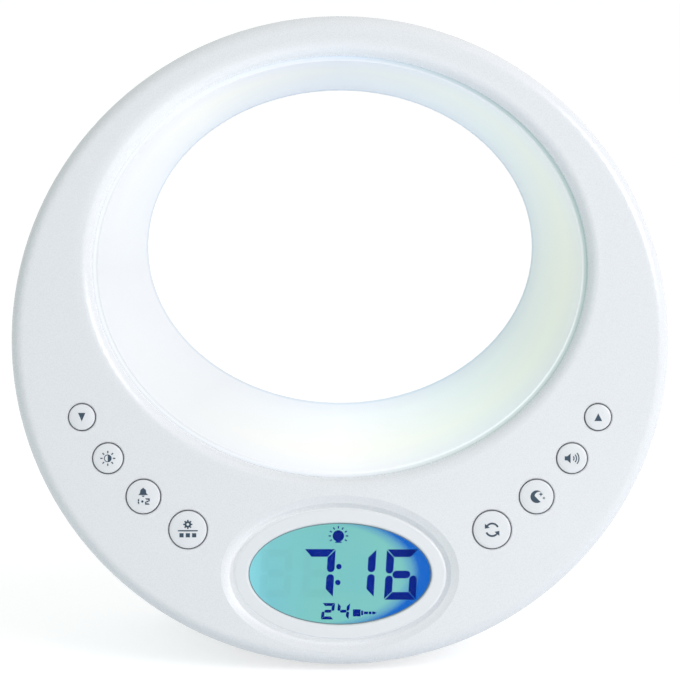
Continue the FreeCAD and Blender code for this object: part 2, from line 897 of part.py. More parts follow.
def rear_cover():
    shell = rear_shell()
    adds = []
    cuts = []
    seat = boss_back + stack_gap
    for x, y in housing_screw_places():
        adds.append(disc(x, y, screw_well_radius + screw_well_wall, seat, ring_inside + wall / 2))
        cuts.append(disc(x, y, screw_well_radius, seat + screw_floor, ring_depth + past))
        cuts.append(disc(x, y, screw_radius + screw_hole_gap, 0, ring_depth))
    # The speaker sits in a ring behind the grille's opening
    seat_front = pod_inside - speaker_seat_depth
    adds.append(tube(0, speaker_centre, speaker_seat_radius, speaker_radius + speaker_gap, seat_front,
                     pod_inside + floor_wall / 2))
    cuts.append(disc(0, speaker_centre, grille_radius - grille_ledge, pod_inside - past, pod_depth + past))
    cuts.append(disc(0, speaker_centre, grille_radius + grille_gap, pod_depth - grille_thickness,
                     pod_depth + past))
    for height, radius in ((dc_height, dc_hole_radius), (aux_height, aux_nose_radius + socket_nose_gap)):
        cuts.append(disc(socket_x, height, radius, pod_inside - past, pod_depth + past))
        cuts.append(disc(socket_x, height, radius + socket_recess_margin, pod_depth - socket_recess,
                         pod_depth + past))
    for x, y in socket_posts():
        adds.append(disc(x, y, socket_post_radius, socket_board_back, pod_inside + floor_wall / 2))
    shell = shell.fuse([stand(shape) for shape in adds] + battery_bay_walls())
    return shell.cut([stand(shape) for shape in cuts] + battery_bay_room() + foot_seats())


def socket_board_box():
    """Middle height and height of the small board behind the sockets."""
    return (dc_height + aux_height) / 2, aux_height - dc_height + 2 * socket_board_margin


def socket_posts():
    """Two posts carry the small board at opposite corners."""
    middle, height = socket_board_box()
    across = socket_board_width / 2 - socket_post_radius
    up = height / 2 - socket_post_radius
    return [(socket_x - across, middle + up), (socket_x + across, middle - up)]


def socket_board():
    middle, height = socket_board_box()
    return block(socket_x, middle, socket_board_width, height, socket_board_front, socket_board_back)


def dc_socket():
    """A power socket: a square body with a round mouth and a centre pin."""
    width, height = dc_body
    mouth = pod_depth - socket_recess
    body = block(socket_x, dc_height, width, height, socket_board_back, pod_inside - stack_gap)
    nose = disc(socket_x, dc_height, dc_hole_radius - socket_nose_gap, socket_board_back, mouth)
    bore = disc(socket_x, dc_height, dc_mouth_radius, mouth - dc_bore_depth, mouth + past)
    pin = disc(socket_x, dc_height, dc_pin_radius, mouth - dc_bore_depth - past, mouth - past)
    return body.fuse(nose).cut(bore).fuse(pin).removeSplitter()


def aux_socket():
    """A line-in socket for a 3.5 mm plug."""
    width, height = aux_body
    mouth = pod_depth - socket_recess
    body = block(socket_x, aux_height, width, height, socket_board_back, pod_inside - stack_gap)
    nose = disc(socket_x, aux_height, aux_nose_radius, socket_board_back, mouth)
    bore = disc(socket_x, aux_height, aux_bore_radius, mouth - aux_bore_depth, mouth + past)
    return body.fuse(nose).cut(bore).removeSplitter()


def speaker_frame():
    """A pressed basket: a flat rim, a cone down to the magnet, and four windows between its legs."""
    rim = pod_inside - stack_gap
    neck = rim - basket_depth
    inner_rim = speaker_radius - speaker_rim_width
    skin = speaker_frame_wall
    body = turned([
        (speaker_radius, rim), (inner_rim - skin, rim), (inner_rim - skin, rim - speaker_rim_thickness),
        (speaker_neck_radius, neck + skin), (cone_neck_radius + cone_clearance, neck + skin),
        (cone_neck_radius + cone_clearance, neck), (speaker_neck_radius + skin, neck),
        (inner_rim + skin, rim - speaker_rim_thickness - skin), (speaker_radius, rim - speaker_rim_thickness),
    ], 0, speaker_centre)
    tab_x, tab_y, tab_front = speaker_tab_place()
    width, height, depth = speaker_tab
    tab = block(tab_x, tab_y - speaker_centre, width, height, tab_front, tab_front + depth)
    tab.translate(FreeCAD.Vector(0, speaker_centre, 0))
    body = body.fuse(tab)
    windows = []
    for quarter in range(4):
        reach = speaker_neck_radius + basket_depth / 2
        gap = block(reach, 0, basket_depth, speaker_neck_radius * 0.9, neck + 2 * skin,
                    rim - 2 * speaker_rim_thickness)
        gap.rotate(FreeCAD.Vector(0, 0, 0), FreeCAD.Vector(0, 0, 1), 45 + 90 * quarter)
        gap.translate(FreeCAD.Vector(0, speaker_centre, 0))
        windows.append(gap)
    return body.cut(windows)


def speaker_tab_place():
    """The middle of the terminal's front face, on one leg of the basket."""
    width, height, depth = speaker_tab
    inner_rim = speaker_radius - speaker_rim_width
    x = (inner_rim + speaker_neck_radius) / 2
    return x, speaker_centre, pod_inside - stack_gap - basket_depth / 2 - 2 * speaker_frame_wall - depth


def speaker_cone():
    """A paper cone with a rolled edge and a dust cap."""
    rim = pod_inside - stack_gap - cone_clearance
    edge = speaker_radius - speaker_rim_width - speaker_frame_wall - cone_clearance
    neck = rim - cone_rise
    skin = cone_wall
    roll = edge - cone_roll_width
    crest = (edge + roll) / 2
    return turned([
        (edge, rim), (crest, rim + cone_roll_height), (roll, rim), (cone_neck_radius, neck + 2 * skin),
        (cone_neck_radius * 0.7, neck + 3 * skin), (0, neck + 4 * skin), (0, neck + 3 * skin),
        (cone_neck_radius * 0.7, neck + 2 * skin), (cone_neck_radius, neck), (roll, rim - skin),
        (crest, rim + cone_roll_height - skin), (edge, rim - skin),
    ], 0, speaker_centre)


def speaker_magnet():
    """The ring magnet between its two steel plates."""
    back = pod_inside - stack_gap - basket_depth
    plate = magnet_height * 0.2
    return turned([
        (0, back), (magnet_radius * 0.9, back), (magnet_radius * 0.9, back - plate),
        (magnet_radius, back - plate), (magnet_radius, back - magnet_height + plate),
        (magnet_radius * 0.9, back - magnet_height + plate), (magnet_radius * 0.85, back - magnet_height),
        (0, back - magnet_height),
    ], 0, speaker_centre)


def arc_slot(reach, half_angle, width):
    """A slot with round ends along an arc about the origin, as a flat face."""
    def at(radius, angle):
        turn = math.radians(angle)
        return FreeCAD.Vector(radius * math.cos(turn), radius * math.sin(turn), 0)

    outer, inner = reach + width / 2, reach - width / 2
    bulge = math.degrees(width / 2 / reach)
    edges = [
        Part.Arc(at(outer, -half_angle), at(outer, 0), at(outer, half_angle)).toShape(),
        Part.Arc(at(outer, half_angle), at(reach, half_angle + bulge), at(inner, half_angle)).toShape(),
        Part.Arc(at(inner, half_angle), at(inner, 0), at(inner, -half_angle)).toShape(),
        Part.Arc(at(inner, -half_angle), at(reach, -half_angle - bulge), at(outer, -half_angle)).toShape(),
    ]
    return Part.Face(Part.Wire(edges))


def speaker_grille():
    """A shallow domed disc with rings of arc slots, turned by half a slot from ring to ring."""
    seat = pod_depth - grille_thickness
    rise = grille_dome
    sphere = (grille_radius ** 2 + rise ** 2) / (2 * rise)
    cap = Part.makeSphere(sphere, FreeCAD.Vector(0, 0, -pod_depth - rise + sphere))
    body = disc(0, 0, grille_radius, seat, pod_depth + rise).common(cap)
    slots = [disc(0, 0, grille_slot_width * 0.7, seat - past, pod_depth + 2 * rise)]
    for ring in range(1, grille_rings + 1):
        reach = grille_ring_pitch * ring
        count = 4 * ring
        half_angle = 180 / count - math.degrees((grille_slot_land + grille_slot_width) / 2 / reach)
        for index in range(count):
            slot = arc_slot(reach, half_angle, grille_slot_width)
            slot = slot.extrude(FreeCAD.Vector(0, 0, grille_thickness + 2 * rise + 2 * past))
            slot.translate(FreeCAD.Vector(0, 0, -pod_depth - 2 * rise - past))
            turn = (index + 0.5 * (ring % 2)) * 360 / count
            slot.rotate(FreeCAD.Vector(0, 0, 0), FreeCAD.Vector(0, 0, 1), turn)
            slots.append(slot)
    body = body.cut(slots)
    body.translate(FreeCAD.Vector(0, speaker_centre, 0))
    return body


# Battery bay: drawn standing, on the flat underside. X across, Y away from the sleeper, Z up.
bay_half_width = cell_length / 2 + contact_space
bay_length = cell_pitch * cell_count + bay_gap
bay_front = underside_y(pod_depth) - bay_back_margin - bay_length
door_half_width = bay_half_width + door_margin
door_front = bay_front - door_margin
bed_top = foot_proud + door_thickness + door_gap + door_bed
cell_height = bed_top + cell_radius - door_bed + bay_gap
bay_top = cell_height + cell_radius + bay_gap


def upright(x0, x1, y0, y1, z0, z1):
    return Part.makeBox(x1 - x0, y1 - y0, z1 - z0, FreeCAD.Vector(x0, y0, z0))


def bay_height_up_face(depth):
    """How high up the face the top of the bay comes, at a depth."""
    return (bay_top + bay_wall - face_height + depth * math.sin(lean)) / math.cos(lean)


def battery_bay_walls():
    """A thick bed for the door to slide in, and the box that the cells lie in."""
    half = door_half_width + door_bed_margin
    bed = upright(-half, half, door_front - door_bed_margin, huge / 2, foot_proud, bed_top)
    bed = bed.common(above(stand(pod_form(floor_wall / 2)), foot_proud))
    half = bay_half_width + bay_wall
    box = upright(-half, half, bay_front - bay_wall, bay_front + bay_length + bay_wall,
                  foot_proud + floor_wall / 2, bay_top + bay_wall)
    return [bed, box]


def battery_bay_room():
    """The room for the cells, the door's recess and its two side grooves, open to the back."""
    half = bay_half_width
    cells = upright(-half, half, bay_front, bay_front + bay_length, 0, bay_top)
    gap = door_gap
    recess = upright(-door_half_width - gap, door_half_width + gap, door_front - gap, huge / 2, 0,
                     foot_proud + door_thickness + gap)
    low = foot_proud + door_tongue_rise - door_tongue_gap
    high = foot_proud + door_tongue_rise + door_tongue_thickness + door_tongue_gap
    half = door_half_width + door_tongue + gap
    grooves = upright(-half, half, door_front - gap, huge / 2, low, high)
    tails = [contact_tail(side, y, contact_tail_gap) for side, y in contact_tail_places()]
    return [cells, recess, grooves] + tails


def battery_door():
    """A plate cut to the pod's own outline, with a tongue down each side and ridges for the thumb."""
    plate = upright(-door_half_width, door_half_width, door_front, huge / 2,
                    foot_proud, foot_proud + door_thickness)
    low = foot_proud + door_tongue_rise
    half = door_half_width + door_tongue
    bay_back = bay_front + bay_length
    tongues = upright(-half, half, door_front, bay_back, low, low + door_tongue_thickness)
    door = plate.common(stand(pod_form(0))).fuse(tongues)
    ridges = []
    for index in range(grip_ridge_count):
        y = bay_back - grip_ridge_pitch * (index + 1)
        ridges.append(upright(-grip_ridge_half_width, grip_ridge_half_width, y, y + grip_ridge_width,
                              0, foot_proud + grip_ridge_depth))
    return door.cut(ridges).removeSplitter()


def cell_rows():
    return [bay_front + bay_gap / 2 + cell_pitch * (index + 0.5) for index in range(cell_count)]


def backup_cells():
    """Three small cells, each turned about from the one beside it."""
    cells = []
    for index, y in enumerate(cell_rows()):
        way = 1 if index % 2 == 0 else -1
        start = FreeCAD.Vector(-way * cell_length / 2, y, cell_height)
        along = FreeCAD.Vector(way, 0, 0)
        body_length = cell_length - cell_nub_length
        body = Part.makeCylinder(cell_radius, body_length, start, along)
        nub = Part.makeCylinder(cell_nub_radius, cell_nub_length, start + along * body_length, along)
        cells.append(body.fuse(nub).removeSplitter())
    return Part.makeCompound(cells)


def contact_groups():
    """The rows that each plate touches, by side: the cells run in series, so plates bridge pairs."""
    groups = []
    for side, first in ((-1, 0), (1, 1)):
        rows = cell_rows()
        if first:
            groups.append((side, rows[:1]))
        for start in range(first, len(rows), 2):
            groups.append((side, rows[start:start + 2]))
    return groups


def contact_tail_places():
    """The side and row of the two end plates, whose tails take the lead."""
    return [(side, rows[0]) for side, rows in contact_groups() if len(rows) == 1]


def contact_tail(side, y, gap):
    """The pin of an end plate, which passes through the bay's wall."""
    start = FreeCAD.Vector(side * (bay_half_width - contact_thickness / 2), y, cell_height)
    length = contact_thickness / 2 + bay_wall + contact_tail_reach
    return Part.makeCylinder(contact_tail_radius + gap, length, start, FreeCAD.Vector(side, 0, 0))


def battery_contacts():
    """Plates at the ends of the cells, pressed out in a cone to meet each one."""
    plates = []
    half = contact_width / 2
    reach = contact_space - contact_thickness - stack_gap
    for side, rows in contact_groups():
        face_x = side * bay_half_width
        inner_x = face_x - side * contact_thickness
        x0, x1 = min(face_x, inner_x), max(face_x, inner_x)
        pieces = [upright(x0, x1, rows[0] - half, rows[-1] + half, cell_height - half, cell_height + half)]
        for y in rows:
            start = FreeCAD.Vector(inner_x, y, cell_height)
            inward = FreeCAD.Vector(-side, 0, 0)
            pieces.append(Part.makeCone(contact_cone_root, contact_cone_tip, reach, start, inward))
        if len(rows) == 1:
            pieces.append(contact_tail(side, rows[0], 0))
        plates.append(joined(pieces))
    return Part.makeCompound(plates)


def foot_places():
    rear_foot_depth = pod_depth - rear_foot_margin
    rows = ((front_foot_half_span, front_foot_depth), (rear_foot_half_span, rear_foot_depth))
    return [(side * x, underside_y(depth)) for x, depth in rows for side in (-1, 1)]


def foot_seats():
    return [
        Part.makeCylinder(foot_radius, foot_proud + foot_seat, FreeCAD.Vector(x, y, 0))
        for x, y in foot_places()
    ]


def rubber_feet():
    """Four round pads with a bevelled tread, pressed into the underside's seats."""
    feet = []
    bevel = foot_proud / 3
    for x, y in foot_places():
        tread = Part.makeCone(foot_radius - bevel, foot_radius, bevel, FreeCAD.Vector(x, y, 0))
        height = foot_proud + foot_seat - bevel
        pad = Part.makeCylinder(foot_radius, height, FreeCAD.Vector(x, y, bevel))
        feet.append(joined([tread, pad]))
    return Part.makeCompound(feet)


drawn_flat = {
    "front_cover": front_cover(),
    "light_diffuser": light_diffuser(),
    "light_reflector": light_reflector(),
    "led_board": led_board(),
    "leds": leds(),
    "display_bezel": display_bezel(),
    "display_lens": display_lens(),
    "lcd_panel": lcd_panel(),
    "lcd_backlight": lcd_backlight(),
    "lcd_holder": lcd_holder(),
    "main_board": main_board(),
    "board_parts": board_parts(),
    "tact_switches": tact_switches(),
    "board_screws": board_screws(),
    "housing_screws": housing_screws(),
    "speaker_frame": speaker_frame(),
    "speaker_cone": speaker_cone(),
    "speaker_magnet": speaker_magnet(),
    "speaker_grille": speaker_grille(),
    "socket_board": socket_board(),
    "dc_socket": dc_socket(),
    "aux_socket": aux_socket(),
    "led_lead": led_lead(),
    "speaker_lead": speaker_lead(),
    "socket_lead": socket_lead(),
    "cell_leads": cell_leads(),
}
for name, x, y, radius in button_places():
    drawn_flat["button_" + name] = button_cap(x, y, radius)
    drawn_flat["plunger_" + name] = plunger(x, y)

clock = {name: stand(shape) for name, shape in drawn_flat.items()}
clock["rear_cover"] = rear_cover()
clock["battery_door"] = battery_door()
clock["backup_cells"] = backup_cells()
clock["battery_contacts"] = battery_contacts()
clock["rubber_feet"] = rubber_feet()

# The origin lies on the table, midway between the front-most and rear-most points
whole = Part.makeCompound(list(clock.values())).optimalBoundingBox(False, False)
for name, shape in clock.items():
    shape.translate(FreeCAD.Vector(0, -(whole.YMin + whole.YMax) / 2, 0))
    shape.exportStep("parts/" + name + ".step")
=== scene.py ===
import math

import bmesh
import bpy
import numpy as np
from mathutils import Matrix, Vector


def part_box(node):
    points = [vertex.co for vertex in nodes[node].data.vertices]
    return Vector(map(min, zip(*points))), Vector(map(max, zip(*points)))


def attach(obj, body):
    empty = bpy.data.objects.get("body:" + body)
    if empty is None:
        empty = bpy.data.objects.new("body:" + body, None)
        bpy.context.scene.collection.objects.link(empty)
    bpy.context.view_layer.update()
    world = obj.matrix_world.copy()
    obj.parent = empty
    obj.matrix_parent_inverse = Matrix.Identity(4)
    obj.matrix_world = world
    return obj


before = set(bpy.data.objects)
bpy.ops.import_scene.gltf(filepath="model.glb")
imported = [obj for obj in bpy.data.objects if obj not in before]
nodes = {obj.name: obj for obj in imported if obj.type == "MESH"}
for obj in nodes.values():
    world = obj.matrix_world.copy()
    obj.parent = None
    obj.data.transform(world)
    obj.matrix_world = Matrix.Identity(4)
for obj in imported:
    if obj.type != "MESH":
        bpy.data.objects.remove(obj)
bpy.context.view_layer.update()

MM = 0.001

# The face leans back by this much, and the lens lies this far below and behind the face's centre
TILT = math.radians(12)
LENS_DROP = 85.1 * MM
LENS_MIDDLE_DEPTH = 2.1 * MM

# Depths of the surfaces that carry marks
LENS_FRONT = 1.3 * MM
LCD_DEPTH = 5.3 * MM
CAP_TOP = -0.9 * MM

# The oval mouth of the light funnel, from the face's centre
MOUTH_CENTRE = 26.8 * MM
MOUTH_HALF_WIDTH = 89.95 * MM
MOUTH_HALF_HEIGHT = 76.55 * MM

# The bezel's outline, and how far past an outline a glow can be drawn
BEZEL_HALF_WIDTH = 38.8 * MM
BEZEL_HALF_HEIGHT = 24.0 * MM
GLOW_SPAN = 1.2

# The camera stands this far out, square to the face, and its picture is this wide there
CAMERA_DISTANCE = 1.1
PICTURE_WIDTH = 247.3 * MM
SENSOR = 36.0

OUT = Vector((0, -math.cos(TILT), math.sin(TILT)))
UP = Vector((0, math.sin(TILT), math.cos(TILT)))
RIGHT = Vector((1, 0, 0))


def middle(node):
    low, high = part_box(node)
    return (low + high) / 2


FACE = middle("display_lens") + UP * LENS_DROP + OUT * LENS_MIDDLE_DEPTH
FACE_AXES = Matrix((RIGHT, UP, OUT)).transposed()


def on_face(x, y, depth=0.0):
    """The place at x across and y up the face, at a depth behind it."""
    return FACE + RIGHT * x + UP * y - OUT * depth


# Materials

def grey(level):
    return (level, level, level)


def new_material(name):
    material = bpy.data.materials.new(name)
    material.use_nodes = True
    graph = material.node_tree
    graph.nodes.clear()
    output = graph.nodes.new("ShaderNodeOutputMaterial")
    shader = graph.nodes.new("ShaderNodeBsdfPrincipled")
    graph.links.new(shader.outputs[0], output.inputs["Surface"])
    return material, graph, shader


def noise(graph, scale, detail=3.0, stretch=(1, 1, 1)):
    """Noise in the part's own metres: scale is in grains a metre."""
    place = graph.nodes.new("ShaderNodeTexCoord")
    mapping = graph.nodes.new("ShaderNodeMapping")
    mapping.inputs["Scale"].default_value = stretch
    texture = graph.nodes.new("ShaderNodeTexNoise")
    texture.inputs["Scale"].default_value = scale
    texture.inputs["Detail"].default_value = detail
    graph.links.new(place.outputs["Object"], mapping.inputs["Vector"])
    graph.links.new(mapping.outputs["Vector"], texture.inputs["Vector"])
    return texture.outputs["Fac"]


def spread(graph, value, low, high):
    """A 0 to 1 value spread between two others."""
    node = graph.nodes.new("ShaderNodeMapRange")
    node.inputs["From Min"].default_value = 0.3
    node.inputs["From Max"].default_value = 0.7
    node.inputs["To Min"].default_value = low
    node.inputs["To Max"].default_value = high
    graph.links.new(value, node.inputs["Value"])
    return node.outputs["Result"]


def mixed(graph, share, first, second):
    """A colour between two, each a colour or a socket, by a share that is a number or a socket."""
    node = graph.nodes.new("ShaderNodeMix")
    node.data_type = "RGBA"
    sockets = [s for s in node.inputs if s.type == "RGBA"]
    for socket, value in zip(sockets, (first, second)):
        if isinstance(value, tuple):
            socket.default_value = (*value, 1)
        else:
            graph.links.new(value, socket)
    if isinstance(share, float):
        node.inputs[0].default_value = share
    else:
        graph.links.new(share, node.inputs[0])
    return [s for s in node.outputs if s.type == "RGBA"][0]


def ramped(graph, value, stops):
    """A colour that runs through (place, colour) stops."""
    ramp = graph.nodes.new("ShaderNodeValToRGB")
    elements = ramp.color_ramp.elements
    elements[0].position, elements[1].position = stops[0][0], stops[-1][0]
    elements[0].color, elements[1].color = (*stops[0][1], 1), (*stops[-1][1], 1)
    for place, colour in stops[1:-1]:
        elements.new(place).color = (*colour, 1)
    graph.links.new(value, ramp.inputs["Fac"])
    return ramp.outputs["Color"]


def along(graph, direction, start, end):
    """Runs from 0 at one place on the part to 1 at another, along a direction, and on past both."""
    place = graph.nodes.new("ShaderNodeTexCoord")
    dot = graph.nodes.new("ShaderNodeVectorMath")
    dot.operation = "DOT_PRODUCT"
    dot.inputs[1].default_value = direction
    graph.links.new(place.outputs["Object"], dot.inputs[0])
    span = graph.nodes.new("ShaderNodeMapRange")
    span.clamp = False
    span.inputs["From Min"].default_value = start.dot(direction)
    span.inputs["From Max"].default_value = end.dot(direction)
    graph.links.new(dot.outputs["Value"], span.inputs["Value"])
    return span.outputs["Result"]


def bumped(graph, shader, height, strength, distance):
    node = graph.nodes.new("ShaderNodeBump")
    node.inputs["Strength"].default_value = strength
    node.inputs["Distance"].default_value = distance
    graph.links.new(height, node.inputs["Height"])
    graph.links.new(node.outputs["Normal"], shader.inputs["Normal"])


def surface(name, colour, tone=0.97, blotch=40, roughness=(0.3, 0.36), grain=600, bump=0.05,
            height=0.05 * MM, stretch=(1, 1, 1), **fixed):
    """A moulded or plated surface: a slow drift of tone, uneven gloss and a fine grain."""
    material, graph, shader = new_material(name)
    dim = tuple(c * tone for c in colour)
    graph.links.new(mixed(graph, noise(graph, blotch, 2.0), dim, colour), shader.inputs["Base Color"])
    grains = noise(graph, grain, 4.0, stretch)
    graph.links.new(spread(graph, grains, *roughness), shader.inputs["Roughness"])
    bumped(graph, shader, grains, bump, height)
    for key, value in fixed.items():
        shader.inputs[key.replace("_", " ")].default_value = value
    return material


def oval_reach(graph, centre, half_width, half_height):
    """0 at the middle of an oval on the face and 1 at its outline."""
    joined = graph.nodes.new("ShaderNodeCombineXYZ")
    graph.links.new(along(graph, RIGHT, centre, centre + RIGHT * half_width), joined.inputs["X"])
    graph.links.new(along(graph, UP, centre, centre + UP * half_height), joined.inputs["Y"])
    reach = graph.nodes.new("ShaderNodeVectorMath")
    reach.operation = "LENGTH"
    graph.links.new(joined.outputs["Vector"], reach.inputs[0])
    return reach.outputs["Value"]


def turn_about(graph, centre):
    """Runs once round a centre on the face: 0 at the left, 0.25 below, 0.5 at the right and 0.75 above."""
    angle = graph.nodes.new("ShaderNodeMath")
    angle.operation = "ARCTAN2"
    graph.links.new(along(graph, UP, centre, centre + UP), angle.inputs[0])
    graph.links.new(along(graph, RIGHT, centre, centre + RIGHT), angle.inputs[1])
    turn = graph.nodes.new("ShaderNodeMapRange")
    turn.inputs["From Min"].default_value = -math.pi
    turn.inputs["From Max"].default_value = math.pi
    graph.links.new(angle.outputs[0], turn.inputs["Value"])
    return turn.outputs["Result"]


def joined(graph, operation, first, second):
    """Two colours multiplied or added, by the operation's name."""
    node = graph.nodes.new("ShaderNodeVectorMath")
    node.operation = operation
    graph.links.new(first, node.inputs[0])
    graph.links.new(second, node.inputs[1])
    return node.outputs["Vector"]


def painted_light_along(graph, centre, half_width, half_height, fall, ring):
    """Painted light along an oval outline: its share by how far out, and its colour once round, brighter on
    some sides than on others.
    """
    reach = oval_reach(graph, centre, half_width * GLOW_SPAN, half_height * GLOW_SPAN)
    share = ramped(graph, reach, [(place / GLOW_SPAN, grey(level)) for place, level in fall])
    return joined(graph, "MULTIPLY", share, ramped(graph, turn_about(graph, centre), ring))


# Painted light on the mouth's lip and in the groove round the bezel, lifting their shade more on some sides
# than on others: its shares by reach, where 1 is the outline, and its colours by turn
PAINTED_LIP_LIGHT_FALL = ((1, 1), (1.035, 0.6), (1.09, 0))
PAINTED_LIP_LIGHT_RING = (
    (0.0, grey(0.03)), (0.25, grey(0)), (0.5, (0.02, 0.03, 0.03)), (0.62, (0.05, 0.05, 0.06)),
    (0.75, (0.12, 0.13, 0.16)), (0.88, grey(0.19)), (1.0, grey(0.03)),
)
PAINTED_GROOVE_LIGHT_FALL = ((0.975, 0), (0.995, 1), (1.02, 1), (1.05, 0.45), (1.11, 0))
PAINTED_GROOVE_LIGHT_RING = (
    (0.0, grey(0.21)), (0.25, grey(0.19)), (0.4, grey(0.06)), (0.5, (0.02, 0.03, 0.03)),
    (0.75, (0.06, 0.07, 0.07)), (1.0, grey(0.21)),
)


def paint_light_round_edges(material):
    """Paints light as an emission on the mouth's lip and in the groove round the bezel, lifting their shade,
    more on some sides than on others.
    """
    graph = material.node_tree
    shader = [n for n in graph.nodes if n.type == "BSDF_PRINCIPLED"][0]
    painted_lip_light = painted_light_along(graph, on_face(0, MOUTH_CENTRE), MOUTH_HALF_WIDTH, MOUTH_HALF_HEIGHT, PAINTED_LIP_LIGHT_FALL, PAINTED_LIP_LIGHT_RING)
    painted_groove_light = painted_light_along(graph, on_face(0, -LENS_DROP), BEZEL_HALF_WIDTH, BEZEL_HALF_HEIGHT,
                        PAINTED_GROOVE_LIGHT_FALL, PAINTED_GROOVE_LIGHT_RING)
    graph.links.new(joined(graph, "ADD", painted_lip_light, painted_groove_light), shader.inputs["Emission Color"])
    shader.inputs["Emission Strength"].default_value = 1.0


# The funnel's plastic, and the lamps' glow in it, which also paints light and shade that differ side by side:
# by turn, and from the mouth, 0, to the hole, 1
OPAL_TONES = ((0.745, 0.755, 0.765), (0.765, 0.775, 0.785))
OPAL_GRAIN = 2500
LAMPS_AND_PAINTED_LIGHT_RING = (
    (0.0, (0.0, 0.0, 0.02)), (0.12, (0.04, 0.04, 0.05)), (0.25, (0.28, 0.27, 0.26)),
    (0.37, (0.19, 0.25, 0.23)), (0.5, (0.19, 0.21, 0.15)), (0.62, (0.15, 0.19, 0.19)),
    (0.75, (0.11, 0.13, 0.18)), (0.87, (0.24, 0.22, 0.22)), (1.0, (0.0, 0.0, 0.02)),
)
LAMPS_AND_PAINTED_LIGHT_INWARD = (
    (0.05, (0.7, 0.72, 0.9)), (0.38, (0.98, 0.97, 0.75)), (0.8, (0.75, 0.85, 0.9)), (1.0, (0.4, 0.55, 0.8)),
)
# Painted shade: the plastic darker at the hole's end
PAINTED_HOLE_SHADE = ((0.965, grey(1)), (0.985, (0.84, 0.88, 0.92)))

# Painted shade and light along the funnel's outer edge, in the gap to the cover: a dark tone with a painted
# glow that differs side by side; its reach and its colours by turn
PAINTED_MOUTH_EDGE_REACH = ((0.987, grey(0)), (0.994, grey(1)))
PAINTED_MOUTH_EDGE_SHADE = grey(0.3)
PAINTED_MOUTH_EDGE_LIGHT_RING = (
    (0.0, (0.62, 0.65, 0.68)), (0.25, (0.55, 0.59, 0.63)), (0.37, (0.34, 0.42, 0.41)),
    (0.5, (0.24, 0.34, 0.33)), (0.62, (0.26, 0.36, 0.37)), (0.75, (0.48, 0.56, 0.66)),
    (0.87, (0.62, 0.65, 0.68)), (1.0, (0.62, 0.65, 0.68)),
)


def opal(depth):
    """Frosted plastic over a funnel of this depth: the lamps' glow with painted light and shade by side,
    painted shade at the hole's end, and a painted dark edge with painted light along it.
    """
    material, graph, shader = new_material("opal")
    grains = noise(graph, OPAL_GRAIN, 3.0)
    centre = on_face(0, MOUTH_CENTRE)
    turn = turn_about(graph, centre)
    inward = along(graph, -OUT, FACE, FACE - OUT * depth)
    painted_edge_share = ramped(graph, oval_reach(graph, centre, MOUTH_HALF_WIDTH, MOUTH_HALF_HEIGHT), PAINTED_MOUTH_EDGE_REACH)
    # The plastic's tone, with painted shade at the hole's end
    body = joined(graph, "MULTIPLY", mixed(graph, noise(graph, 25, 2.0), *OPAL_TONES),
                  ramped(graph, inward, PAINTED_HOLE_SHADE))
    graph.links.new(mixed(graph, painted_edge_share, body, PAINTED_MOUTH_EDGE_SHADE), shader.inputs["Base Color"])
    graph.links.new(spread(graph, grains, 0.44, 0.48), shader.inputs["Roughness"])
    bumped(graph, shader, grains, 0.02, 0.02 * MM)
    lamps_and_painted_light = joined(graph, "MULTIPLY", ramped(graph, turn, LAMPS_AND_PAINTED_LIGHT_RING), ramped(graph, inward, LAMPS_AND_PAINTED_LIGHT_INWARD))
    # Painted light along the funnel's outer edge, differing side by side
    painted_edge_light = ramped(graph, turn, PAINTED_MOUTH_EDGE_LIGHT_RING)
    graph.links.new(mixed(graph, painted_edge_share, lamps_and_painted_light, painted_edge_light), shader.inputs["Emission Color"])
    shader.inputs["Emission Strength"].default_value = 1.0
    return material


def clear(name, tint, roughness):
    """A thin clear window: see-through, with a faint gloss."""
    material, graph, shader = new_material(name)
    shader.inputs["Base Color"].default_value = (*tint, 1)
    shader.inputs["Transmission Weight"].default_value = 1.0
    shader.inputs["IOR"].default_value = 1.08
    grains = noise(graph, 300, 2.0)
    graph.links.new(spread(graph, grains, roughness, roughness + 0.02), shader.inputs["Roughness"])
    return material


# The display's light: teal from its left end to its right, with clouds, inside an oval that lies to the left,
# and blue outside that
WINDOW_HALF_WIDTH = 33.3 * MM
TEAL_ACROSS = (
    (0.0, (0.32, 0.83, 0.93)), (0.12, (0.23, 0.62, 0.68)), (0.45, (0.21, 0.59, 0.56)),
    (0.7, (0.22, 0.6, 0.57)), (1.0, (0.2, 0.56, 0.6)),
)
CLOUD_TONES = ((0.25, 0.63, 0.47), (0.16, 0.5, 0.66))
CLOUD_SHARE = 0.4
TEAL_SHIFT = 11 * MM
TEAL_HALF_WIDTH = 43.0 * MM
TEAL_HALF_HEIGHT = 23.3 * MM
TEAL_TO_BLUE = ((0.79, grey(0)), (0.87, grey(0.4)), (0.935, grey(1)))
DEEP_BLUE = (0.006, 0.135, 0.6)


